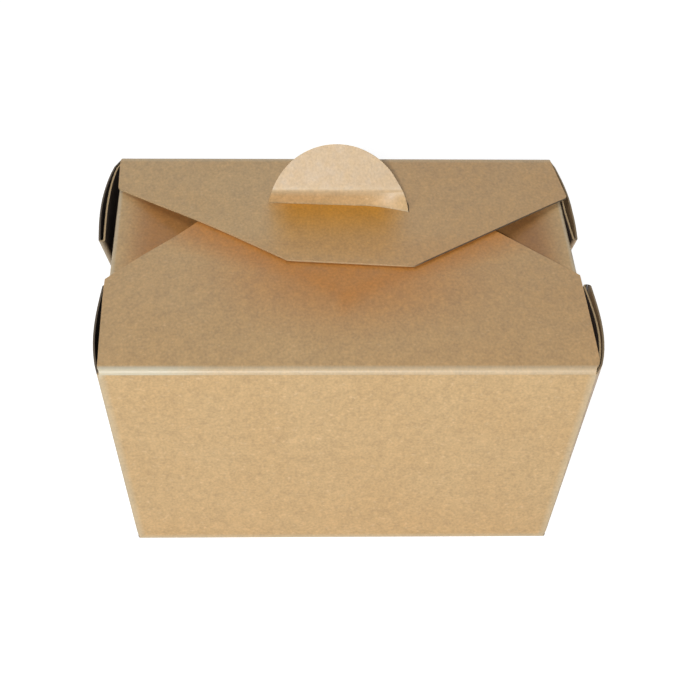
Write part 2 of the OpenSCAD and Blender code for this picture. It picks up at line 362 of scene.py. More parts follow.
class BoxStudio(bpy.types.PropertyGroup):
    """Floor, light and camera."""

    floor: colour("Floor", "Pale floor", (0.82, 0.82, 0.82))
    floor_glow: amount("Floor glow", "White that the seen floor has without light", 0.85)
    floor_seen: amount("Floor shade", "How strongly the seen floor shows light and shadow", 0.45)
    room: amount("Room light", "Strength of the light from all round", 0.05)
    lamp_far: length("Lamp distance", "Distance of both lamps", 1300.0)
    key: amount("Key light", "Power of the key light", 13.9, "POWER")
    key_size: length("Key size", "Side of the key light's soft box", 110.0)
    key_height: angle("Key height", "Elevation of the key light", 30.5)
    key_side: angle("Key side", "How far left of the front the key light stands", 6.0)
    fill: amount("Fill light", "Power of the fill light", 4.4, "POWER")
    fill_size: length("Fill size", "Side of the fill light's soft box", 700.0)
    fill_height: angle("Fill height", "Elevation of the fill light", 60.0)
    fill_side: angle("Fill side", "How far left of the front the fill light stands", 95.0)
    camera_at: lengths("Camera place", "Where the camera stands", (-20.758, -475.967, 365.191))
    camera_pitch: angle("Camera pitch", "How far the camera looks down", 35.005)
    camera_yaw: angle("Camera yaw", "How far the camera looks to the right", 2.842)
    camera_roll: angle("Camera roll", "Roll of the camera", 1.576)
    camera_lens: amount("Lens", "Focal length over a 36 mm frame", 106.182)


def ease(t):
    """A smooth step from 0 to 1."""
    t = min(1.0, max(0.0, t))
    return t * t * (3.0 - 2.0 * t)


def ramp(at, start, run):
    """A smooth step from 0 to 1 at a place in metres, from a start and over a run in millimetres."""
    return ease((at / MM - start) / run)


def mix(a, b, t):
    """The value a share t of the way from a to b."""
    return a + (b - a) * t


def side_of(x):
    """Place in a left and right pair that holds at x."""
    return 0 if x < 0 else 1


def steps(low, high, count):
    """Evenly spaced values, both ends included."""
    return [mix(low, high, i / count) for i in range(count + 1)]


def fillet(a, p, b, radius, count):
    """Points of the arc that rounds the corner p between a and b."""
    u = (a - p).normalized()
    v = (b - p).normalized()
    half = u.angle(v) / 2
    centre = p + (u + v).normalized() * radius / math.sin(half)
    start = p + u * radius / math.tan(half) - centre
    end = p + v * radius / math.tan(half) - centre
    sweep = start.angle(end)
    return [
        centre + (start * math.sin((1 - t) * sweep) + end * math.sin(t * sweep)) / math.sin(sweep)
        for t in steps(0.0, 1.0, count)
    ]


def outline(corners):
    """Half of a flap's outline, as points of half width and distance. Corners have a radius as well."""
    points = [Vector(corners[0][:2])]
    for before, here, after in zip(corners, corners[1:], corners[2:]):
        points += fillet(Vector(before[:2]), Vector(here[:2]), Vector(after[:2]), here[2], CORNER_STEPS)
    return points + [Vector(corners[-1][:2])]


def half_width(points, at):
    """Half width of an outline at a distance from its crease."""
    for a, b in zip(points, points[1:]):
        if at <= b.y:
            share = (at - a.y) / (b.y - a.y) if b.y > a.y else 1.0
            return mix(a.x, b.x, max(0.0, share))
    return points[-1].x


def distances(points, low, high):
    """Row distances that take in an outline's own points, and are no further apart than the pitch."""
    own = sorted({round(p.y, 6) for p in points if low < p.y < high} | {low, high})
    rows = [own[0]]
    for a, b in zip(own, own[1:]):
        rows += steps(a, b, max(1, math.ceil((b - a) / ROW_PITCH)))[1:]
    return rows


def stand(name, data):
    """A new object in the scene."""
    made = bpy.data.objects.new(name, data)
    bpy.context.scene.collection.objects.link(made)
    return made


class Sheet:
    """The middle surface of folded board, made of grids of points that are welded together."""

    def __init__(self):
        self.mesh = bmesh.new()
        self.layers = {name: self.mesh.verts.layers.float.new(name) for name in ("fold", *LAYERS)}

    def grid(self, rows, folds=None, skip=None, **layers):
        """Joins rows of points into quads. folds says how far each row is a crease, and skip(row, column)
        leaves a quad out. A layer is a value or a function of a point, for all columns or one per column."""
        folds = folds or [0.0] * len(rows)
        made = []
        for row, fold in zip(rows, folds):
            made.append([self.mesh.verts.new(p) for p in row])
            for i, vert in enumerate(made[-1]):
                vert[self.layers["fold"]] = fold[i] if isinstance(fold, list) else fold
                for name, given in layers.items():
                    here = given[i] if isinstance(given, list) else given
                    vert[self.layers[name]] = here(vert.co) if callable(here) else here
        for j, (low, high) in enumerate(zip(made, made[1:])):
            for i in range(len(low) - 1):
                if skip is None or not skip(j, i):
                    self.mesh.faces.new((low[i], low[i + 1], high[i + 1], high[i]))

    def finish(self, name, board, materials):
        """Welds the grids, gives the board its thickness, and returns the piece."""
        bmesh.ops.remove_doubles(self.mesh, verts=self.mesh.verts, dist=WELD)
        loose = [v for v in self.mesh.verts if not v.link_faces]
        bmesh.ops.delete(self.mesh, geom=loose, context="VERTS")
        thin = bpy.data.meshes.new(name)
        self.mesh.to_mesh(thin)
        self.mesh.free()
        piece = stand(name, thin)
        for material in materials:
            thin.materials.append(material)
        thick = piece.modifiers.new("board", "SOLIDIFY")
        thick.thickness = board
        thick.offset = 0.0
        thick.use_even_offset = True
        thick.use_quality_normals = True
        thick.material_offset_rim = 1
        solid = bpy.data.meshes.new_from_object(piece.evaluated_get(bpy.context.evaluated_depsgraph_get()))
        piece.modifiers.clear()
        keep_close(solid, thin, SPREAD * board)
        shade_folds(solid, thin)
        piece.data = solid
        bpy.data.meshes.remove(thin)
        solid.name = name
        rest = solid.attributes.new("rest", "FLOAT_VECTOR", "POINT")
        rest.data.foreach_set("vector", [c for v in solid.vertices for c in v.co])
        soften(solid)
        weighted = piece.modifiers.new("flat panels", "WEIGHTED_NORMAL")
        weighted.keep_sharp = True
        return piece


def keep_close(solid, thin, reach):
    """Pulls in points that the thickness threw far off the middle surface or under the floor."""
    count = len(thin.vertices)
    for i, vert in enumerate(solid.vertices):
        middle = thin.vertices[i % count].co
        off = vert.co - middle
        if off.length > reach:
            vert.co = middle + off.normalized() * reach
        vert.co.z = max(0.0, vert.co.z)


def shade_folds(solid, thin):
    """Sets each point's painted shade from cover, and keeps the painted reflection off the inner side. cover
    runs from 0, open, to 1, where the inner side faces a narrow fold, to 2, where both do. Under 0 only the
    outer side does."""
    count = len(thin.vertices)
    cover = [0.0] * count
    thin.attributes["cover"].data.foreach_get("value", cover)
    golden = solid.attributes["golden"]
    shade = solid.attributes.new("shade", "FLOAT", "POINT")
    for i, vert in enumerate(solid.vertices):
        middle = thin.vertices[i % count]
        outside = (vert.co - middle.co).dot(middle.normal) > 0
        covered = cover[i % count]
        if outside:
            shade.data[i].value = max(-covered, covered - 1.0, 0.0)
        else:
            shade.data[i].value = min(1.0, max(0.0, covered))
            golden.data[i].value = 0.0


def soften(solid):
    """Smooth shading everywhere but along the cut edges."""
    shaded = bmesh.new()
    shaded.from_mesh(solid)
    for face in shaded.faces:
        face.smooth = True
    for edge in shaded.edges:
        kinds = {face.material_index for face in edge.link_faces}
        edge.smooth = len(kinds) < 2 and edge.calc_face_angle(0.0) < SHARP
    shaded.to_mesh(solid)
    shaded.free()


class Walls:
    """Where each wall and corner fold stands, by its height."""

    def __init__(self, sizes):
        self.sizes = sizes
        self.low_z = BASE_CREASE_Z
        self.rim_z = HINGE.z
        self.rim_half_d = HINGE.y
        self.rise = self.rim_z - self.low_z
        self.base_z = sizes.board / 2
        self.foot_r = BASE_CREASE_R * sizes.board
        lean = math.atan((self.rim_half_d - sizes.base_half_d) / self.rise)
        self.foot_turn = math.pi / 2 - lean
        self.foot_reach = self.foot_r * math.sin(self.foot_turn)
        self.foot_z = self.base_z + self.foot_r * (1 - math.cos(self.foot_turn))
        self.plate_half_d = self.front_y(self.foot_z) - self.foot_reach
        self.plate_half_w = sizes.base_half_w + PLAY - self.foot_reach
        self.end_rim_z = self.rim_z - sizes.end_drop
        self.web_z = self.rim_z - sizes.web_drop
        self.tongue_at = Vector((self.rim_half_d - sizes.setback, self.rim_z - sizes.front_sink))

    def share(self, z):
        return (z - self.low_z) / self.rise

    def front_y(self, z):
        return mix(self.sizes.base_half_d, self.rim_half_d, self.share(z))

    def side_x(self, z):
        return mix(self.sizes.base_half_w, self.sizes.rim_half_w, self.share(z))

    def end_x(self, y, z, bow):
        """Middle of an end wall, which bows out between its corners."""
        k = self.share(z)
        across = min(1.0, abs(y) / self.front_y(z))
        return mix(self.sizes.end_low, self.sizes.end_rim, k) + bow * k * (1 - across ** END_FLATNESS)

    def foot_share(self, z):
        """How far the corner folds have opened out above the base crease."""
        return ease((z - self.foot_z) / FOOT_BLEND)

    def front_point(self, t, z):
        """A point of the front wall; t runs from -1 at the left to 1 at the right."""
        half = mix(self.plate_half_w, self.side_x(z) - self.sizes.corner, self.foot_share(z))
        k = self.share(z)
        bulge = self.sizes.wall_bulge * math.sin(math.pi * min(1.0, max(0.0, k))) * (1 - t * t) ** 0.5
        return Vector((t * half, -self.front_y(z) - bulge, z))

    def fold_start(self, z):
        """Where an end wall leaves its corner fold, as a distance from the middle."""
        return self.front_y(z) - self.sizes.board - self.sizes.leaf_pitch / 2 - PLAY

    def end_point(self, t, bow, z):
        """A point of the right end wall; t runs from -1 at the front to 1 at the back."""
        e = self.foot_share(z)
        y = t * mix(self.plate_half_d, self.fold_start(z), e)
        return Vector((mix(self.plate_half_w + self.foot_reach, self.end_x(y, z, bow), e), y, z))

    def fold_point(self, web, peak, bow, part, share, order, z):
        """A point of the front right corner fold; order runs from 0, the front wall, to 1, the end wall."""
        sizes = self.sizes
        k = self.share(z)
        reach, lift, belly, pocket, nose = web
        front = self.front_y(z)
        side = self.side_x(z)
        y_turn = self.fold_start(z)
        y_nose = y_turn - BASE_REACH - k * reach

        def inner(s):
            y = mix(y_turn, y_nose, s)
            leaf = mix(sizes.end_low, sizes.end_rim, k) + sizes.leaf_pitch
            lifted = lift * math.sin(math.pi / 2 * s ** LIFT_POWER)
            leaf += k * (lifted + belly * math.sin(math.pi * s ** BELLY_POWER))
            return max(leaf, self.end_x(y, z, bow) + sizes.leaf_pitch)

        def outer(s):
            gap = sizes.leaf_pitch + k * (pocket * math.sin(math.pi * s ** peak) + nose * s * s)
            return mix(side, inner(s) + gap, ease(s * CORNER_BLEND))

        if part == "corner":
            a = math.pi / 2 * share
            r = sizes.corner
            x, y = side - r + r * math.sin(a), -front + r - r * math.cos(a)
        elif part == "outer":
            x, y = outer(share), -mix(front - sizes.corner, y_nose, share)
        elif part == "nose":
            half = (outer(1.0) - inner(1.0)) / 2
            a = math.pi * share
            x, y = inner(1.0) + half + half * math.cos(a), -y_nose + half * math.sin(a)
        elif part == "inner":
            x, y = inner(1.0 - share), -mix(y_nose, y_turn, share)
        else:
            wall = self.end_x(y_turn, z, bow)
            half = (inner(0.0) - wall) / 2
            a = math.pi * share
            x, y = wall + half + half * math.cos(a), -y_turn - half * math.sin(a)
        a = math.pi / 2 * order
        foot = Vector((
            self.plate_half_w + self.foot_reach * math.sin(a),
            -self.plate_half_d - self.foot_reach * math.cos(a),
            z,
        ))
        return foot.lerp(Vector((x, y, z)), self.foot_share(z))


def rim_arc(walls, free):
    """The rim crease of the front wall in its (y, z) plane, and how far from the rim its flap end lies."""
    rim = Vector((-walls.rim_half_d, walls.rim_z))
    low = Vector((-walls.sizes.base_half_d, walls.low_z))
    arc = fillet(low, rim, free, walls.sizes.crease, CREASE_ROWS)
    return arc, (arc[-1] - rim).length


def front_columns():
    """Column places across the front wall; the inner ones go on into the tongue."""
    left = steps(-1.0, -FRONT_SHARE, FRONT_OUTER)
    right = steps(FRONT_SHARE, 1.0, FRONT_OUTER)
    return left[:-1] + steps(-FRONT_SHARE, FRONT_SHARE, FRONT_INNER) + right[1:]


def back_columns():
    """Column places across the back wall; the inner ones run to the slot."""
    left = [-SEAM] + steps(-SEAM_NEXT, -BACK_SHARE, BACK_OUTER)
    right = steps(BACK_SHARE, SEAM_NEXT, BACK_OUTER) + [SEAM]
    return left[:-1] + steps(-BACK_SHARE, BACK_SHARE, BACK_INNER) + right[1:]


class Column:
    """One upright line of the walls. foot and out say where it meets the base plate and which way the base
    crease runs there, and rise(z) is its point above. All are given for the front right. fold is its crease,
    and cover and warm are its painted shade, dark and redder."""

    def __init__(self, foot, out, rise, top, left=False, back=False, fold=0.0, cover=0.0, warm=0.0):
        self.foot = foot
        self.out = out
        self.rise = rise
        self.top = top
        self.sign = Vector((-1.0 if left else 1.0, -1.0 if back else 1.0, 1.0))
        self.fold = fold
        self.cover = cover
        self.warm = warm

    def low(self, reach, z):
        """Its point in the base crease."""
        (x, y), (a, b) = self.foot, self.out
        return Vector((x + a * reach, y + b * reach, z)) * self.sign

    def high(self, z):
        """Its point at a height above the base crease."""
        return self.rise(z) * self.sign


def fold_columns(walls, left, back, wall_top, end_top):
    """The columns of one corner fold, in order from the front or back wall to the end wall."""
    sizes = walls.sizes
    side = 0 if left else 1
    web = sizes.corner_fold(left, back)
    peak = (sizes.back_peaks if back else sizes.front_peaks)[side]
    bow = sizes.end_bow[side]
    dark = sizes.fold_painted_shade[side]
    foot = (walls.plate_half_w, -walls.plate_half_d)
    tops = {"corner": (wall_top, walls.web_z), "turn": (walls.web_z, end_top)}
    columns = []
    for i, (part, share) in enumerate(FOLD_COLUMNS):
        order = i / (len(FOLD_COLUMNS) - 1)
        a = math.pi / 2 * order
        rise = partial(walls.fold_point, web, peak, bow, part, share, order)
        top = mix(*tops.get(part, (walls.web_z, walls.web_z)), share)
        fold = 1.0 if part in ("corner", "nose", "turn") else 0.0
        # Painted shade inside the fold: dark where a side faces a narrow fold, and redder on the right
        cover = {"corner": dark * share, "outer": dark, "nose": mix(dark, 2.0, share)}.get(part, 2.0)
        warm = sizes.fold_warm_shade[side] * min(1.0, cover)
        columns.append(Column(foot, (math.sin(a), -math.cos(a)), rise, top, left, back, fold, cover, warm))
    return columns


def end_columns(walls, left, end_top):
    """The columns of an end wall from its front to its back, without the two that the folds share."""
    sizes = walls.sizes
    bow = sizes.end_bow[0 if left else 1]
    webs = [sizes.corner_fold(left, back) for back in (False, True)]

    def cover(p):
        """The part of the outer side that a corner fold lies on, by its reach at each height, which gets
        painted shade.
        """
        nose = walls.fold_start(p.z) - walls.share(p.z) * webs[0 if p.y < 0 else 1][0]
        return -ease((abs(p.y) - nose) / COVER_EDGE)

    columns = []
    for t in steps(-1.0, 1.0, END_COLUMNS)[1:-1]:
        foot = (walls.plate_half_w, t * walls.plate_half_d)
        rise = partial(walls.end_point, t, bow)
        columns.append(Column(foot, (1.0, 0.0), rise, end_top, left, cover=cover))
    return columns


def flat_columns(walls, places, back, top):
    """The columns of the front or the back wall, at the given places across it."""
    columns = []
    for t in places:
        foot = (t * walls.plate_half_w, -walls.plate_half_d)
        columns.append(Column(foot, (0.0, -1.0), partial(walls.front_point, t), top, back=back))
    return columns


def add_walls(sheet, walls, columns):
    """One grid that climbs from the base crease to the tops of the columns."""
    rows = []
    folds = []
    for a in steps(0.0, walls.foot_turn, FOOT_ROWS)[:-1]:
        z = walls.base_z + walls.foot_r * (1 - math.cos(a))
        rows.append([c.low(walls.foot_r * math.sin(a), z) for c in columns])
        folds.append(1.0)
    for j in range(WALL_ROWS + 1):
        share = j / WALL_ROWS
        share = mix(share * share, share, mix(ROWS_EVEN, 1.0, share))
        rows.append([c.high(mix(walls.foot_z, c.top, share)) for c in columns])
        folds.append([max(c.fold, 1.0 if j == 0 else 0.0) for c in columns])
    # The walls carry the painted shade of their corner folds
    sheet.grid(rows, folds, cover=[c.cover for c in columns], warm=[c.warm for c in columns])


def end_rim(walls, y, bow):
    """The rim crease of the right end wall in its (x, z) plane at y, and the free edge of its flap."""
    slope = walls.sizes.end_slope
    low_z = walls.end_rim_z * END_SLOPE_FROM
    rim = Vector((walls.end_x(y, walls.end_rim_z, bow), walls.end_rim_z))
    low = Vector((walls.end_x(y, low_z, bow), low_z))
    free = rim + Vector((-math.cos(slope), -math.sin(slope))) * walls.sizes.end_flap
    return rim, fillet(low, rim, free, SMALL_CREASE, SMALL_ROWS), free


def add_end_flap(sheet, walls, left, end_top):
    """An end flap with its crease, over the columns of its end wall."""
    sizes = walls.sizes
    bow = sizes.end_bow[0 if left else 1]
    places = steps(-1.0, 1.0, END_COLUMNS)
    edge = [walls.end_point(t, bow, end_top) for t in places]
    start = abs(edge[0].y)
    inset, inset_run, inset_r = END_INSET
    shape = outline([
        (start, 0.0, 0.0), (start - inset, inset_run, inset_r),
        (sizes.end_flap_tip, sizes.end_flap, END_TIP_R), (0.0, sizes.end_flap, 0.0),
    ])[:-1]
    arcs = [end_rim(walls, p.y, bow) for p in edge]
    rows = [[Vector(p) for p in edge]]
    for i in range(1, SMALL_ROWS + 1):
        rows.append([Vector((arc[i].x, p.y, arc[i].y)) for p, (_, arc, _) in zip(edge, arcs)])
    folds = [1.0] * len(rows)
    begin = (arcs[0][1][-1] - arcs[0][0]).length
    for v in distances(shape, begin, shape[-1].y)[1:]:
        droop = sizes.end_droop * (v / sizes.end_flap) ** 2
        row = []
        for t, (rim, _, free) in zip(places, arcs):
            straight = rim.lerp(free, v / sizes.end_flap)
            row.append(Vector((straight.x, t * half_width(shape, v), straight.y - droop)))
        rows.append(row)
        folds.append(0.0)
    sign = Vector((-1.0 if left else 1.0, 1.0, 1.0))
    rows = [[p * sign for p in (reversed(row) if left else row)] for row in rows]
    rim_x = sizes.end_rim + bow
    dark = sizes.end_painted_shade[0 if left else 1]

    def under(p):
        """How near a point lies to the crossing of the two big flaps over it."""
        return ease((rim_x - abs(p.x)) / UNDER_SHADE_RUN)

    # Painted shade, darker and redder, on the end flaps towards the crossing of the big flaps over them
    sheet.grid(rows, folds, cover=lambda p: -dark * under(p), warm=lambda p: UNDER_SHADE_TONE * under(p))


def tongue_foot(sizes, x):
    """How far the tongue's foot is pulled towards the front at x."""
    pulled = sizes.curl * max(0.0, (x - CURL_FROM) / CURL_RUN) ** CURL_POWER
    return pulled + x * math.tan(sizes.skew)


def front_crease_and_highlight(x):
    """How far the front rim is a crease at x, which makes it pale as pressed board and with painted
    highlight; its left end gets the most painted highlight.
    """
    return 1.0 + LEFT_HIGHLIGHT * ramp(-x, *LEFT_HIGHLIGHT_RUN)


def add_front_flap(sheet, walls):
    """The front flap and its tongue, over the columns of the front wall."""
    sizes = walls.sizes
    places = front_columns()
    foot = walls.tongue_at
    arc, begin = rim_arc(walls, foot)
    rim = Vector((-walls.rim_half_d, walls.rim_z))
    reach = (foot - rim).length
    crease_half = walls.side_x(arc[0].y) - sizes.corner
    shapes = [front_outline(sizes, side, reach) for side in (0, 1)]
    neck_top = foot + Vector((math.sin(sizes.neck_lean), math.cos(sizes.neck_lean))) * sizes.neck
    foot_arc = fillet(rim, foot, neck_top, SMALL_CREASE, SMALL_ROWS)
    last = reach - (foot_arc[0] - foot).length
    rows = []
    folds = []
    for p in arc:
        half = mix(crease_half, sizes.rim_half_w, max(0.0, (p.x - arc[0].x) / begin))
        rows.append([Vector((t * half, p.x, p.y)) for t in places])
        folds.append([front_crease_and_highlight(t * half) for t in places])
    for v in distances(shapes[0] + shapes[1], begin, last)[1:]:
        at = rim.lerp(foot, v / reach)
        late = ease((v - reach + FOOT_RUN) / FOOT_RUN)
        z = at.y + hump(sizes, v)
        across = [t * half_width(shapes[side_of(t)], v) for t in places]
        pulls = [tongue_foot(sizes, x) if x < 0 else slot_front(sizes, x) for x in across]
        rows.append([Vector((x, at.x - late * pull, z)) for x, pull in zip(across, pulls)])
        folds.append(0.0)
    # Painted shade reddens the front flap beside the back flap's edge
    sheet.grid(rows, folds, warm=lambda p: front_painted_shade(sizes, walls, p))
    add_tongue(sheet, walls, places, rows[-1], foot_arc, neck_top)


def front_outline(sizes, side, reach):
    """Half of the front flap's outline, on the left or the right side."""
    half = sizes.rim_half_w + sizes.flare[side]
    run = sizes.flare_run[side]
    end = sizes.front_side[side]
    corners = [
        (sizes.rim_half_w, 0.0, 0.0),
        (half, run, FLARE_R * run),
        (half, end, NOTCH_R[0]),
        (half - sizes.notch_across[side], end + sizes.notch_along[side], NOTCH_R[1]),
    ]
    if side == 0:
        corners.append((*sizes.front_bend, FRONT_BEND_R))
    return outline(corners + [(sizes.shoulder, reach, 0.0)])


def hump(sizes, v):
    """How far the front flap bulges up at a distance from its crease."""
    u = min(1.0, v / HUMP_END)
    return math.tan(sizes.front_hump) * HUMP_END * u * (1 - u) ** 2


def front_painted_shade(sizes, walls, p):
    """How much painted shade reddens the front flap at a point: beside the back flap's edge, before its
    middle, and a little all over.
    """
    side = side_of(p.x)
    corner = Vector((sizes.back_corner[side], walls.rim_half_d - sizes.back_side[side]))
    tip = Vector((sizes.back_tip[side], walls.rim_half_d - sizes.back_len))
    along = (tip - corner).normalized()
    off = Vector((abs(p.x), p.y)) - corner
    away = off.x * along.y - off.y * along.x
    beside = 1 - ease(abs(away) / SHADE_BAND)
    middle = Vector((p.x / SHADE_OVAL[side], (p.y + SHADE_OVAL_FRONT) / SHADE_OVAL_DEEP)).length
    plain = mix(*FRONT_SHADE, ramp(p.x, *FRONT_SHADE_RUN))
    return mix(plain, 1.0, max(beside, 1 - ease(middle)))


def add_tongue(sheet, walls, places, edge, foot_arc, neck_top):
    """The half round tongue, from the front flap's last row up."""
    sizes = walls.sizes
    inner = [i for i, t in enumerate(places) if abs(t) <= FRONT_SHARE + SLACK]
    shares = [places[i] / places[inner[-1]] for i in inner]
    top = sizes.tongue_r - sizes.tongue_drop
    tip = neck_top + Vector((math.sin(sizes.tongue_lean), math.cos(sizes.tongue_lean))) * (top - sizes.neck)
    foot = walls.tongue_at
    bend = fillet(foot, neck_top, tip, sizes.tongue_bend, CREASE_ROWS)
    cut = (bend[0] - neck_top).length
    path = [(p, 0.0, 1.0) for p in foot_arc]
    for s in steps(0.0, sizes.neck - cut, 4)[1:-1]:
        path.append((foot.lerp(neck_top, s / sizes.neck), s, 0.0))
    for i, p in enumerate(bend):
        path.append((p, sizes.neck + mix(-cut, cut, i / CREASE_ROWS), BEND_PALE_AND_HIGHLIGHT))
    lowest = math.asin((sizes.neck + cut + sizes.tongue_drop) / sizes.tongue_r)
    for a in steps(lowest, ROUND_END, ROUND_ROWS)[1:]:
        s = sizes.tongue_r * math.sin(a) - sizes.tongue_drop
        path.append((neck_top.lerp(tip, (s - sizes.neck) / (top - sizes.neck)), s, 0.0))
    rows = [[edge[i] for i in inner]]
    for p, s, _ in path[1:]:
        half = math.sqrt(max(0.0, sizes.tongue_r ** 2 - (s + sizes.tongue_drop) ** 2))
        free = 1.0 - ease(s / sizes.neck)
        flare = 1.0 - ease(s / FLARE_END)
        row = []
        for share in shares:
            x = share * (half + flare * sizes.tongue_flare[side_of(share)]) - sizes.tongue_left
            row.append(Vector((x, p.x - free * tongue_foot(sizes, x), p.y)))
        rows.append(row)
    upper = foot.y + math.cos(sizes.neck_lean) * sizes.neck
    folds = [fold for _, _, fold in path]
    # Painted sheen makes the tongue pale above its crease
    sheet.grid(rows, folds, pale=lambda p: TONGUE_SHEEN * ease((p.z - upper) / SHEEN_RUN))


def add_base(sheet, walls, places):
    """The base plate, between the base creases."""
    rows = [
        [Vector((t * walls.plate_half_w, u * walls.plate_half_d, walls.base_z)) for t in places]
        for u in reversed(steps(-1.0, 1.0, END_COLUMNS))
    ]
    sheet.grid(rows)


def fold_carton(sizes, materials):
    """The sheet without its back wall and back flap, from base to tongue."""
    walls = Walls(sizes)
    sheet = Sheet()
    wall_top = rim_arc(walls, walls.tongue_at)[0][0].y
    end_top = end_rim(walls, 0.0, max(sizes.end_bow))[1][0].y
    places = front_columns()
    columns = flat_columns(walls, [-SEAM], True, wall_top)
    columns += fold_columns(walls, True, True, wall_top, end_top)
    columns += reversed(end_columns(walls, True, end_top))
    columns += reversed(fold_columns(walls, True, False, wall_top, end_top))
    columns += flat_columns(walls, places[1:-1], False, wall_top)
    columns += fold_columns(walls, False, False, wall_top, end_top)
    columns += end_columns(walls, False, end_top)
    columns += reversed(fold_columns(walls, False, True, wall_top, end_top))
    columns += flat_columns(walls, [SEAM], True, wall_top)
    add_walls(sheet, walls, columns)
    add_base(sheet, walls, places)
    add_front_flap(sheet, walls)
    for left in (False, True):
        add_end_flap(sheet, walls, left, end_top)
    return sheet.finish("carton_sheet", sizes.board, materials)


def slot_bend(sizes, x):
    """How far the slot's back edge swings forward at x, where its corners are cut."""
    half = sizes.slot_half[side_of(x)]
    far_flat = SLOT_CUT_FROM * half
    if abs(x) <= half:
        return SLOT_CUT * max(0.0, (abs(x) - far_flat) / (half - far_flat))
    return SLOT_CUT * (1 - ease((abs(x) - half) / SLOT_CUT_RUN))


def slot_front(sizes, x):
    """How far the slot's front edge is pulled forward at x, along the tongue's foot."""
    left, right = sizes.slot_half
    inside = min(right, max(-left, x))
    fade = 1 - ease(abs(x - inside) / SLOT_PULL_RUN)
    return tongue_foot(sizes, inside) * fade


def back_outline(sizes, side):
    """Half of the back flap's outline, on the left or the right side."""
    corner, tip = sizes.back_corner[side], sizes.back_tip[side]
    inset, inset_run, inset_r = BACK_INSET
    corners = [
        (sizes.rim_half_w - inset, 0.0, 0.0),
        (sizes.rim_half_w, inset_run, inset_r),
        (corner, sizes.back_side[side], BACK_CORNER_R),
        (tip, sizes.back_len, BACK_TIP_R),
        (0.0, sizes.back_len, 0.0),
    ]
    hollow = sizes.back_hollow[side]
    if hollow:
        halfway = (sizes.back_side[side] + sizes.back_len) / 2
        corners.insert(3, ((corner + tip) / 2, halfway - hollow, HOLLOW_R))
    return outline(corners)[:-1]


def tip_skew(sizes, x, v):
    """How far the back flap's front part is pulled forward at x, as its front edge is turned."""
    left, right = sizes.back_tip
    half = (left + right) / 2
    x -= (right - left) / 2
    late = max(0.0, (v - sizes.slot_near) / (sizes.back_len - sizes.slot_near))
    return min(half, max(-half, x)) * math.tan(sizes.back_skew) * late


def lid_painted_reflection(sizes, p):
    """How much painted reflection of the tongue the back flap takes at a point, in front of the tongue's
    foot.
    """
    foot_y = HINGE.y - sizes.slot_near
    if p.y > foot_y + REFLECTION_BEHIND:
        return 0.0
    aside = 1 - ease((abs(p.x - REFLECTION_X) - REFLECTION_HALF) / REFLECTION_HALF)
    near = 1 - ease((foot_y - p.y) / REFLECTION_FADE)
    return aside * mix(REFLECTION_PLAIN, 1.0, near) * (1 - ease((foot_y - p.y - REFLECTION_END) / REFLECTION_END_RUN))


def lid_painted_shade(p):
    """How much painted shade reddens the back flap at a point: more towards its right and its front edge."""
    return mix(*BACK_SHADE, ramp(p.x, *BACK_SHADE_RUN)) + BACK_EDGE_SHADE * ramp(-p.y, *BACK_EDGE_RUN)


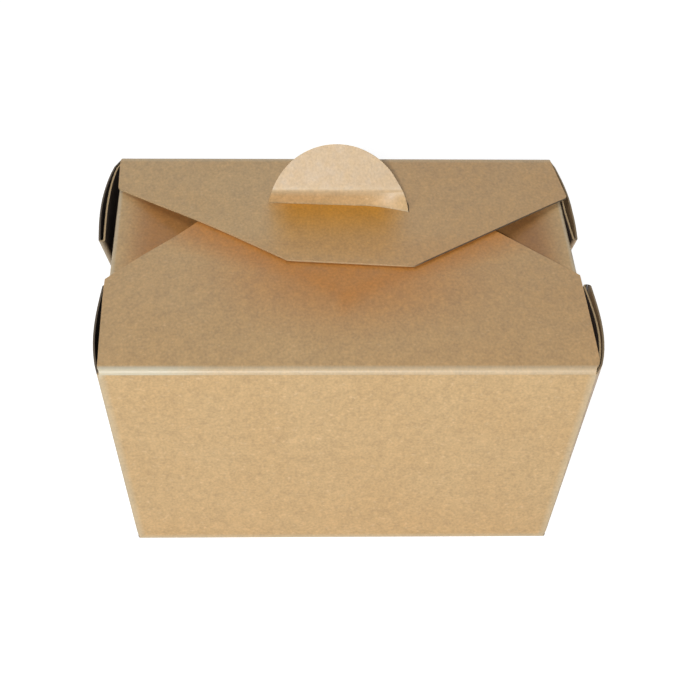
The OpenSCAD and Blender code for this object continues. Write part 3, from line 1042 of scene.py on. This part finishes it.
def fold_back(sizes, materials):
    """The back wall and slotted back flap, one sheet across the rim crease, and that crease's two ends."""
    walls = Walls(sizes)
    sheet = Sheet()
    places = back_columns()
    rim = Vector((-walls.rim_half_d, walls.rim_z))
    tip = rim + Vector((math.sqrt(sizes.back_len ** 2 - sizes.back_rise ** 2), sizes.back_rise))
    arc, begin = rim_arc(walls, tip)
    add_walls(sheet, walls, list(reversed(flat_columns(walls, places, True, arc[0].y))))
    crease_half = walls.side_x(arc[0].y) - sizes.corner
    shapes = [back_outline(sizes, side) for side in (0, 1)]
    near, far = sizes.slot_near, sizes.slot_far
    bend_from = 14 * MM
    bend_to = 40 * MM
    tip_from = 34 * MM
    tip_run = 20 * MM

    def place(t, v):
        """Where column t passes in the row at distance v; the inner columns end at the slot's ends."""
        slot_half = sizes.slot_half[side_of(t)]
        narrow = mix(BACK_SHARE * crease_half, slot_half, ease((v - begin) / (bend_from - begin)))
        narrow = mix(narrow, TIP_INNER * min(sizes.back_tip), ease((v - tip_from) / tip_run))
        if abs(t) <= BACK_SHARE:
            return t / BACK_SHARE * narrow
        out = mix(narrow, half_width(shapes[side_of(t)], v), (abs(t) - BACK_SHARE) / (SEAM - BACK_SHARE))
        return math.copysign(out, t)

    def along(x, v):
        """Where the row at distance v passes x, bent round the slot."""
        if v <= far:
            return v + slot_bend(sizes, x) * ease((v - bend_from) / (far - bend_from))
        if v < near:
            return v + mix(slot_bend(sizes, x), slot_front(sizes, x), (v - far) / (near - far))
        return v + slot_front(sizes, x) * (1 - ease((v - near) / (bend_to - near))) + tip_skew(sizes, x, v)

    rows = []
    for i, p in enumerate(arc):
        grow = [mix(crease_half, half_width(shape, begin) / SEAM, i / CREASE_ROWS) for shape in shapes]
        rows.append([Vector((t * grow[side_of(t)], p.x, p.y)) for t in places])
    own = shapes[0] + shapes[1] + [Vector((0.0, far)), Vector((0.0, near))]
    levels = distances(own, begin, sizes.back_len)
    for v in levels[1:]:
        row = []
        for t in places:
            x = place(t, v)
            at = rim.lerp(tip, along(x, v) / sizes.back_len)
            row.append(Vector((x, at.x, at.y)))
        rows.append(row)
    folds = [1.0] * len(arc) + [0.0] * (len(levels) - 1)
    open_rows = {
        CREASE_ROWS + i
        for i, (a, b) in enumerate(zip(levels, levels[1:]))
        if a >= far - SLACK and b <= near + SLACK
    }
    rows = [[p * Vector((1.0, -1.0, 1.0)) for p in reversed(row)] for row in rows]
    inner = [i for i, t in enumerate(reversed(places)) if abs(t) <= BACK_SHARE + SLACK]

    def in_slot(j, i):
        return j in open_rows and inner[0] <= i < inner[-1]

    # The back flap gets the painted reflection of the tongue, a redder painted shade, and a painted shadow
    # on its right cut edges
    sheet.grid(
        rows, folds, in_slot, golden=lambda p: lid_painted_reflection(sizes, p), warm=lid_painted_shade,
        dim=lambda p: EDGE_SHADE * ramp(p.x, *EDGE_SHADE_RUN),
    )
    back = sheet.finish("back_sheet", sizes.board, materials)
    return back, [(0.0, -p.x, p.y) for p in (arc[0], arc[-1])]


class Nodes:
    """Adds shader nodes to one material or world."""

    def __init__(self, owner):
        owner.use_nodes = True
        self.tree = owner.node_tree
        self.tree.nodes.clear()

    def add(self, kind, given=(), **settings):
        """Adds a node; given maps its inputs, by name or place, to a value or to another node's output."""
        node = self.tree.nodes.new("ShaderNode" + kind)
        for name, value in settings.items():
            setattr(node, name, value)
        for name, value in dict(given).items():
            if isinstance(value, bpy.types.NodeSocket):
                self.tree.links.new(value, node.inputs[name])
            else:
                node.inputs[name].default_value = value
        return node

    def noise(self, where, scale, detail=2.0, stretch=(1.0, 1.0, 1.0), offset=(0.0, 0.0, 0.0)):
        """Noise over the board, as one value."""
        placed = self.add("Mapping", {"Vector": where, "Location": offset, "Scale": stretch})
        made = self.add("TexNoise", {"Vector": placed.outputs[0], "Scale": scale, "Detail": detail})
        return made.outputs[0]

    def remap(self, value, low, high, to_low, to_high):
        """A value moved from one range to another, and kept inside it."""
        given = {0: value, 1: low, 2: high, 3: to_low, 4: to_high}
        return self.add("MapRange", given).outputs[0]

    def blend(self, share, a, b):
        """The colour a share of the way from a to b."""
        made = self.add("Mix", {0: share, 6: a, 7: b}, data_type="RGBA")
        return made.outputs[2]

    def math(self, operation, a, b):
        """Two values worked into one."""
        return self.add("Math", {0: a, 1: b}, operation=operation).outputs[0]

    def layer(self, name):
        """A layer of the sheet, as one value."""
        return self.add("Attribute", attribute_name=name).outputs["Fac"]

    def scaled(self, tone, level):
        """A colour made lighter or darker by one value."""
        return self.add("VectorMath", {0: tone, "Scale": level}, operation="SCALE").outputs[0]

    def relief(self, height, strength, depth):
        """A normal that follows a height of so much depth."""
        return self.add("Bump", {"Height": height, "Strength": strength, "Distance": depth}).outputs[0]


def rgba(value):
    return (*value, 1.0)


def kraft_board(finish):
    """Coated kraft board: fine fibre grain, soft clouds and pale flecks, with pale pressed board and painted
    highlight along the creases, painted sheen on the tongue, a painted reflection before it, and painted
    shade, redder on the flaps and dark in the narrow folds.
    """
    material = bpy.data.materials.new("kraft_board")
    nodes = Nodes(material)
    where = nodes.add("Attribute", attribute_name="rest").outputs["Vector"]
    mottle = nodes.remap(nodes.noise(where, *MOTTLE_NOISE), 0.35, 0.68, 0.0, 0.6)
    tone = nodes.blend(mottle, rgba(finish.board), rgba(finish.mottle))
    flecks = nodes.noise(where, *FLECK_NOISE)
    tone = nodes.blend(nodes.remap(flecks, 0.62, 0.76, 0.0, 0.4), tone, rgba(finish.fleck))
    # Painted sheen on the tongue, a redder painted shade, and the painted reflection of the tongue
    for layer, there in (("pale", finish.pale), ("warm", finish.warm), ("golden", finish.golden)):
        tone = nodes.blend(nodes.layer(layer), tone, rgba(there))
    fibres = nodes.noise(where, *FIBRE_NOISE)
    cloud = nodes.noise(where, *CLOUD_NOISE)
    fine = nodes.math("MULTIPLY", fibres, FIBRE_SHARE)
    grain = nodes.math("ADD", fine, nodes.math("MULTIPLY", cloud, 1.0 - FIBRE_SHARE))
    level = nodes.remap(grain, 0.3, 0.7, 1.0 - finish.grain, 1.0 + finish.grain)
    grained = nodes.scaled(tone, level)
    # The creases are pale, partly pressed board and partly painted highlight
    creased = nodes.math("MULTIPLY", nodes.layer("fold"), CREASE_PALE_AND_HIGHLIGHT)
    pressed = nodes.blend(creased, grained, rgba(finish.crease))
    # Painted shade where the board faces a narrow fold or lies under other board
    fold_shade_share = nodes.math("MULTIPLY", nodes.layer("shade"), FOLD_SHADE)
    shaded = nodes.blend(fold_shade_share, pressed, rgba(finish.dark))
    relief = nodes.relief(fibres, finish.relief, BOARD_RELIEF)
    rough = nodes.remap(cloud, 0.3, 0.7, finish.roughness - 0.04, finish.roughness + 0.05)
    given = {"Base Color": shaded, "Roughness": rough, "Specular IOR Level": finish.gloss, "Normal": relief}
    nodes.add("OutputMaterial", {0: nodes.add("BsdfPrincipled", given).outputs[0]})
    return material


def cut_edge(finish):
    """The bare pulp of the cut edge."""
    material = bpy.data.materials.new("cut_edge")
    nodes = Nodes(material)
    where = nodes.add("Attribute", attribute_name="rest").outputs["Vector"]
    pulp = nodes.noise(where, *PULP_NOISE)
    tone = nodes.scaled(tuple(finish.edge), nodes.remap(pulp, 0.3, 0.7, 0.85, 1.12))
    # Painted shade on the cut edges: dark where an outer leaf faces a narrow fold, and a painted shadow
    # along the back flap's right edges
    half_covered = nodes.math("PINGPONG", nodes.math("MAXIMUM", nodes.layer("cover"), 0.0), 1.0)
    share = nodes.math("MAXIMUM", nodes.math("MULTIPLY", half_covered, CUT_SHADE), nodes.layer("dim"))
    shaded = nodes.blend(share, tone, rgba(finish.dark))
    relief = nodes.relief(pulp, CUT_RELIEF, CUT_RELIEF_DEPTH)
    given = {"Base Color": shaded, "Roughness": CUT_ROUGHNESS, "Normal": relief}
    nodes.add("OutputMaterial", {0: nodes.add("BsdfPrincipled", given).outputs[0]})
    return material


def board_materials(finish):
    """The board's faces and its cut edge, made once for both sheets."""
    return [
        bpy.data.materials.get("kraft_board") or kraft_board(finish),
        bpy.data.materials.get("cut_edge") or cut_edge(finish),
    ]


def seen_or_mirrored(nodes):
    """1 for rays from the camera, from gloss or through glass, and 0 for the light's own."""
    path = nodes.add("LightPath")
    share = path.outputs["Is Camera Ray"]
    for name in ("Is Glossy Ray", "Is Transmission Ray"):
        share = nodes.math("MAXIMUM", share, path.outputs[name])
    return share


def add_floor(studio):
    """A wide pale floor that keeps the box's shadow."""
    material = bpy.data.materials.new("pale_floor")
    nodes = Nodes(material)
    plain = nodes.add("BsdfDiffuse", {"Color": rgba(studio.floor)})
    shaded = nodes.add("BsdfDiffuse", {"Color": rgba([studio.floor_seen] * 3)})
    glow = nodes.add("Emission", {"Color": (1.0, 1.0, 1.0, 1.0), "Strength": studio.floor_glow})
    shown = nodes.add("AddShader", {0: shaded.outputs[0], 1: glow.outputs[0]})
    both = nodes.add("MixShader", {0: seen_or_mirrored(nodes), 1: plain.outputs[0], 2: shown.outputs[0]})
    nodes.add("OutputMaterial", {0: both.outputs[0]})
    mesh = bpy.data.meshes.new("floor")
    corners = [(x * FLOOR_HALF, y * FLOOR_HALF, -FLOOR_GAP) for x, y in ((-1, -1), (1, -1), (1, 1), (-1, 1))]
    mesh.from_pydata(corners, [], [(0, 1, 2, 3)])
    mesh.materials.append(material)
    stand("floor", mesh)


def add_room(studio):
    """White all round, which lights the box more softly than it shows."""
    world = bpy.data.worlds.new("room")
    bpy.context.scene.world = world
    nodes = Nodes(world)
    share = seen_or_mirrored(nodes)
    light = nodes.add("Background", {"Color": (1.0, 1.0, 1.0, 1.0), "Strength": studio.room})
    shown = nodes.add("Background", {"Color": (1.0, 1.0, 1.0, 1.0), "Strength": 1.0})
    both = nodes.add("MixShader", {0: share, 1: light.outputs[0], 2: shown.outputs[0]})
    nodes.add("OutputWorld", {0: both.outputs[0]})


def add_lamp(name, power, size, far, height, side):
    """A square soft box that looks at the box from a height, so far left of the front."""
    data = bpy.data.lights.new(name, "AREA")
    data.energy = power
    data.size = size
    lamp = stand(name, data)
    flat = math.cos(height)
    towards = Vector((-math.sin(side) * flat, -math.cos(side) * flat, math.sin(height)))
    lamp.location = LAMP_AIM + towards * far
    lamp.rotation_mode = "QUATERNION"
    lamp.rotation_quaternion = (-towards).to_track_quat("-Z", "Y")


def add_camera(studio):
    """The camera, at the photograph's place and angle."""
    pitch, yaw, roll = studio.camera_pitch, studio.camera_yaw, studio.camera_roll
    ahead = Vector((math.sin(yaw) * math.cos(pitch), math.cos(yaw) * math.cos(pitch), -math.sin(pitch)))
    right = Vector((math.cos(yaw), -math.sin(yaw), 0.0))
    up = right.cross(ahead)
    across = right * math.cos(roll) + up * math.sin(roll)
    upward = up * math.cos(roll) - right * math.sin(roll)
    data = bpy.data.cameras.new("camera")
    data.lens = studio.camera_lens
    data.sensor_width = 36.0
    data.clip_start = 0.01
    camera = stand("camera", data)
    turned = Matrix((across, upward, -ahead)).transposed()
    camera.matrix_world = Matrix.Translation(studio.camera_at) @ turned.to_4x4()
    bpy.context.scene.camera = camera


class TAKEAWAYBOX_OT_carton(bpy.types.Operator):
    """Fold the base, walls, corner folds, end flaps and the front flap with its tongue"""

    bl_idname = "takeaway_box.carton"
    bl_label = "Fold Carton"

    def execute(self, context):
        scene = context.scene
        carton = fold_carton(scene.box_sizes, board_materials(scene.box_finish))
        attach(carton, "carton")
        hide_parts("carton")
        return {"FINISHED"}


class TAKEAWAYBOX_OT_back_flap(bpy.types.Operator):
    """Fold the back wall and the slotted back flap, one sheet across the back rim crease"""

    bl_idname = "takeaway_box.back_flap"
    bl_label = "Fold Back Flap"

    def execute(self, context):
        scene = context.scene
        back, (wall_end, flap_start) = fold_back(scene.box_sizes, board_materials(scene.box_finish))
        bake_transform(back)
        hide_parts("back_flap")
        return {"FINISHED"}


class TAKEAWAYBOX_OT_studio(bpy.types.Operator):
    """Add the pale floor, the soft light and the camera"""

    bl_idname = "takeaway_box.studio"
    bl_label = "Set Up Studio"

    def execute(self, context):
        studio = context.scene.box_studio
        add_floor(studio)
        add_room(studio)
        far = studio.lamp_far
        add_lamp("key", studio.key, studio.key_size, far, studio.key_height, studio.key_side)
        add_lamp("fill", studio.fill, studio.fill_size, far, studio.fill_height, studio.fill_side)
        add_camera(studio)
        context.scene.view_settings.view_transform = "Standard"
        return {"FINISHED"}


class TAKEAWAYBOX_PT_panel(bpy.types.Panel):
    """Steps that build the takeaway box"""

    bl_idname = "TAKEAWAYBOX_PT_panel"
    bl_label = "Takeaway Box"
    bl_space_type = "VIEW_3D"
    bl_region_type = "UI"
    bl_category = "Takeaway Box"

    def draw(self, context):
        for operator in OPERATORS:
            self.layout.operator(operator.bl_idname)


OPERATORS = (TAKEAWAYBOX_OT_carton, TAKEAWAYBOX_OT_back_flap, TAKEAWAYBOX_OT_studio)
GROUPS = {"box_sizes": BoxSizes, "box_finish": BoxFinish, "box_studio": BoxStudio}
CLASSES = (*GROUPS.values(), *OPERATORS, TAKEAWAYBOX_PT_panel)


def register():
    for cls in CLASSES:
        bpy.utils.register_class(cls)
    for name, group in GROUPS.items():
        setattr(bpy.types.Scene, name, PointerProperty(type=group))


def unregister():
    for name in GROUPS:
        delattr(bpy.types.Scene, name)
    for cls in reversed(CLASSES):
        bpy.utils.unregister_class(cls)


def main():
    register()
    bpy.ops.takeaway_box.carton()
    bpy.ops.takeaway_box.back_flap()
    bpy.ops.takeaway_box.studio()
    bpy.context.view_layer.update()


if __name__ == "__main__":
    main()
